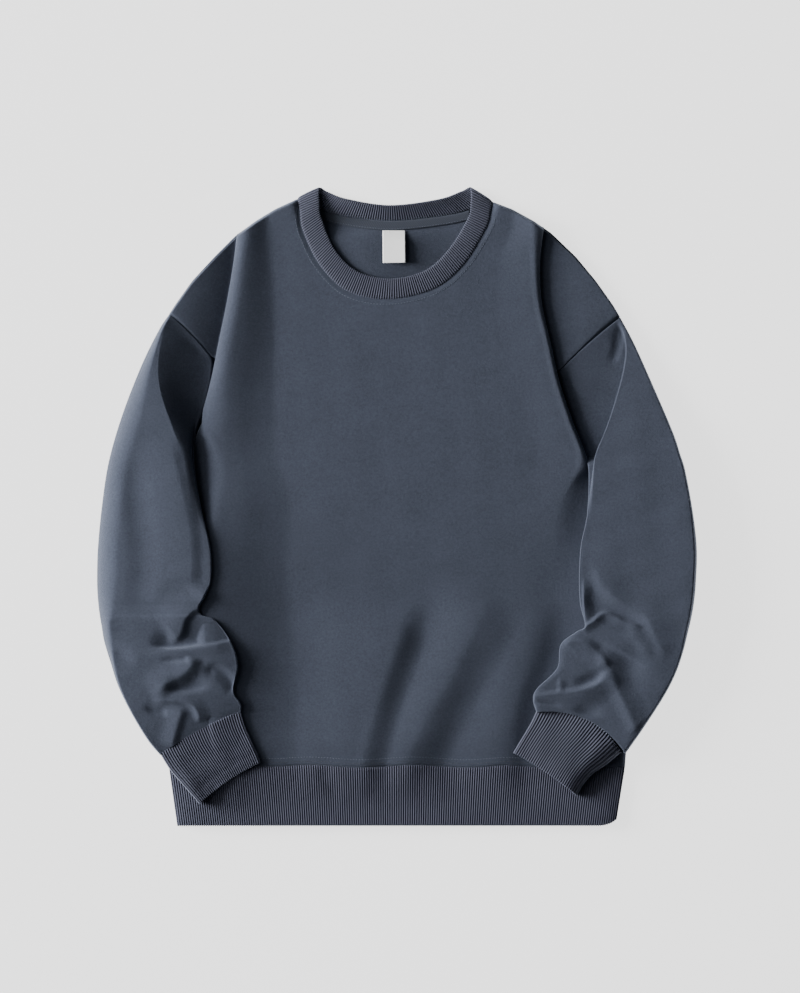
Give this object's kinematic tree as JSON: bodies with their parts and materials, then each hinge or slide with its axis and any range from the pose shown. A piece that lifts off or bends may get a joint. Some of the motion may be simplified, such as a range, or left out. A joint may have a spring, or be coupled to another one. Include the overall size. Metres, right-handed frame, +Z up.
{
  "type": "crewneck sweatshirt",
  "caption": "Oversized crewneck sweatshirt with drop shoulders and ribbed neck, cuffs and hem, laid flat on its back with its sleeves folded down over the front.",
  "frame": {"origin": "middle of the bounding box at its bottom, on the surface the garment lies on", "axes": "+X to the right as it is looked at from above, +Y from the hem to the collar, +Z up from the surface"},
  "size_m": [0.66, 0.7031, 0.037],
  "materials": {
    "body_jersey": "brushed slate-blue jersey, dry and matt with a faint nap",
    "rib_knit": "ribbed knit, matt, a shade darker than the body",
    "neck_tape": "plain woven tape, matt",
    "label_satin": "white satin-weave label, blank"
  },
  "bodies": {
    "root": {"front_panel": "body_jersey", "back_panel": "body_jersey", "sleeve_left": "body_jersey", "sleeve_right": "body_jersey", "neck_rib": "rib_knit", "cuff_left": "rib_knit", "cuff_right": "rib_knit", "hem_rib_front": "rib_knit", "hem_rib_back": "rib_knit", "neck_tape": "neck_tape", "label": "label_satin"}
  },
  "joints": []
}
